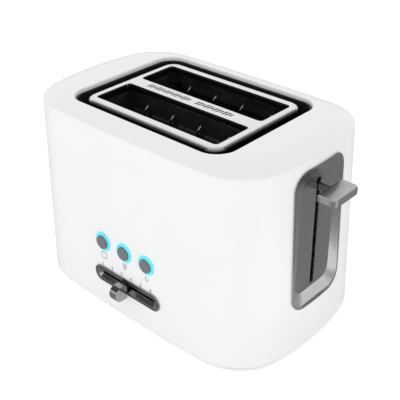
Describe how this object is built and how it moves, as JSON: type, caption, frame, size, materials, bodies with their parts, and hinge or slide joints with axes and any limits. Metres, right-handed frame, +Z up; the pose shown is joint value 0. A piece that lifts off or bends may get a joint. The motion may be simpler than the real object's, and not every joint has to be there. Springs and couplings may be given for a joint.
{
  "type": "pop-up toaster",
  "caption": "White pop-up toaster with two bread slots, a side lever in a dished bezel, ring-lit push buttons and a browning slider.",
  "frame": {"origin": "middle of the whole footprint, lever and slider knob included, on the surface that the feet stand on", "axes": "+X towards the lever end, -Y towards the front with the buttons, +Z up"},
  "size_m": [0.2896, 0.1894, 0.178],
  "materials": {
    "white_housing": "white moulded plastic, soft gloss",
    "dark_cover": "black moulded plastic, fine texture",
    "rubber": "dark grey rubber",
    "zinc_steel": "zinc-plated steel",
    "dark_trough": "black heat-proof plastic",
    "stainless_plate": "brushed stainless steel",
    "grey_metallic": "metallic grey paint, satin",
    "satin_metal": "satin metal finish",
    "grey_print": "grey printed ink",
    "chrome_trim": "satin chrome plating",
    "chamber_steel": "heat-darkened steel",
    "guard_wire": "steel wire and strip, darkened below",
    "mica": "mica sheet, browned by heat",
    "heating_ribbon": "nickel-chrome ribbon",
    "ring_light": "translucent cyan light guide",
    "button_grey": "satin grey plastic",
    "switch_black": "black moulded plastic",
    "circuit_board": "green circuit board",
    "bracket_plastic": "natural nylon",
    "copper_coil": "enamelled copper winding",
    "lamp_clear": "clear lamp resin",
    "tray_aluminium": "pressed aluminium"
  },
  "bodies": {
    "housing": {"base_cover": "dark_cover", "base_screws": "zinc_steel", "board_bracket": "bracket_plastic", "centre_divider": "chamber_steel", "chamber_end_left": "chamber_steel", "chamber_end_right": "chamber_steel", "chassis_floor": "chamber_steel", "chassis_screws": "zinc_steel", "contact_block": "switch_black", "control_board": "circuit_board", "cord_gland": "rubber", "foot_front_left": "rubber", "foot_front_right": "rubber", "foot_rear_left": "rubber", "foot_rear_right": "rubber", "guide_rod": "zinc_steel", "heater_ribbon_front_inner": "heating_ribbon", "heater_ribbon_front_outer": "heating_ribbon", "heater_ribbon_rear_inner": "heating_ribbon", "heater_ribbon_rear_outer": "heating_ribbon", "heater_sheet_front_inner": "mica", "heater_sheet_front_outer": "mica", "heater_sheet_rear_inner": "mica", "heater_sheet_rear_outer": "mica", "housing_shell": "white_housing", "indicator_lamps": "lamp_clear", "lever_bezel": "grey_metallic", "light_ring_centre": "ring_light", "light_ring_left": "ring_light", "light_ring_right": "ring_light", "magnet_coil": "copper_coil", "magnet_core": "zinc_steel", "reflector_front": "chamber_steel", "reflector_rear": "chamber_steel", "return_spring": "zinc_steel", "rod_bracket": "zinc_steel", "slide_potentiometer": "switch_black", "slider_bezel": "chrome_trim", "switch_centre": "switch_black", "switch_left": "switch_black", "switch_right": "switch_black", "terminal_block": "bracket_plastic", "top_plate": "stainless_plate", "trough_ring": "dark_trough"},
    "lever": {"carriage": "zinc_steel", "lever_arm": "zinc_steel", "lever_knob": "satin_metal", "armature": "zinc_steel", "bread_rack_front": "guard_wire", "bread_rack_rear": "guard_wire"},
    "guard_front_outer": {"bread_guard_front_outer": "guard_wire"},
    "guard_front_inner": {"bread_guard_front_inner": "guard_wire"},
    "guard_rear_inner": {"bread_guard_rear_inner": "guard_wire"},
    "guard_rear_outer": {"bread_guard_rear_outer": "guard_wire"},
    "button_left": {"button_left": "button_grey"},
    "button_centre": {"button_centre": "button_grey"},
    "button_right": {"button_right": "button_grey"},
    "slider": {"slider_knob": "chrome_trim", "slider_wiper": "switch_black"},
    "crumb_tray": {"crumb_tray": "tray_aluminium"}
  },
  "joints": [
    {"name": "lever_slide", "type": "slide", "parent": "housing", "child": "lever", "axis": [0, 0, 1], "range_m": [-0.084, 0], "stiffness_N_per_m": 120, "springref_m": 0.02, "deforming": ["return_spring"]},
    {"name": "guard_front_outer_hinge", "type": "hinge", "parent": "housing", "child": "guard_front_outer", "pos_m": [-0.011, -0.04315, 0.03], "axis": [1, 0, 0], "range_deg": [-5.1, 0]},
    {"name": "guard_front_inner_hinge", "type": "hinge", "parent": "housing", "child": "guard_front_inner", "pos_m": [-0.011, -0.00075, 0.03], "axis": [1, 0, 0], "range_deg": [0, 5.1]},
    {"name": "guard_rear_inner_hinge", "type": "hinge", "parent": "housing", "child": "guard_rear_inner", "pos_m": [-0.011, 0.01245, 0.03], "axis": [1, 0, 0], "range_deg": [-5.1, 0]},
    {"name": "guard_rear_outer_hinge", "type": "hinge", "parent": "housing", "child": "guard_rear_outer", "pos_m": [-0.011, 0.05485, 0.03], "axis": [1, 0, 0], "range_deg": [0, 5.1]},
    {"name": "button_left_press", "type": "slide", "parent": "housing", "child": "button_left", "axis": [0, 1, 0], "range_m": [0, 0.002], "stiffness_N_per_m": 500},
    {"name": "button_centre_press", "type": "slide", "parent": "housing", "child": "button_centre", "axis": [0, 1, 0], "range_m": [0, 0.002], "stiffness_N_per_m": 500},
    {"name": "button_right_press", "type": "slide", "parent": "housing", "child": "button_right", "axis": [0, 1, 0], "range_m": [0, 0.002], "stiffness_N_per_m": 500},
    {"name": "browning_slide", "type": "slide", "parent": "housing", "child": "slider", "axis": [1, 0, 0], "range_m": [-0.0265, 0.0315]},
    {"name": "crumb_tray_slide", "type": "slide", "parent": "housing", "child": "crumb_tray", "axis": [0, 1, 0], "range_m": [0, 0.13]}
  ],
  "couplings": [
    {"joint": "guard_front_outer_hinge", "follows": "lever_slide", "rad_per_m": 1.0389},
    {"joint": "guard_front_inner_hinge", "follows": "lever_slide", "rad_per_m": -1.0389},
    {"joint": "guard_rear_inner_hinge", "follows": "lever_slide", "rad_per_m": 1.0389},
    {"joint": "guard_rear_outer_hinge", "follows": "lever_slide", "rad_per_m": -1.0389}
  ]
}
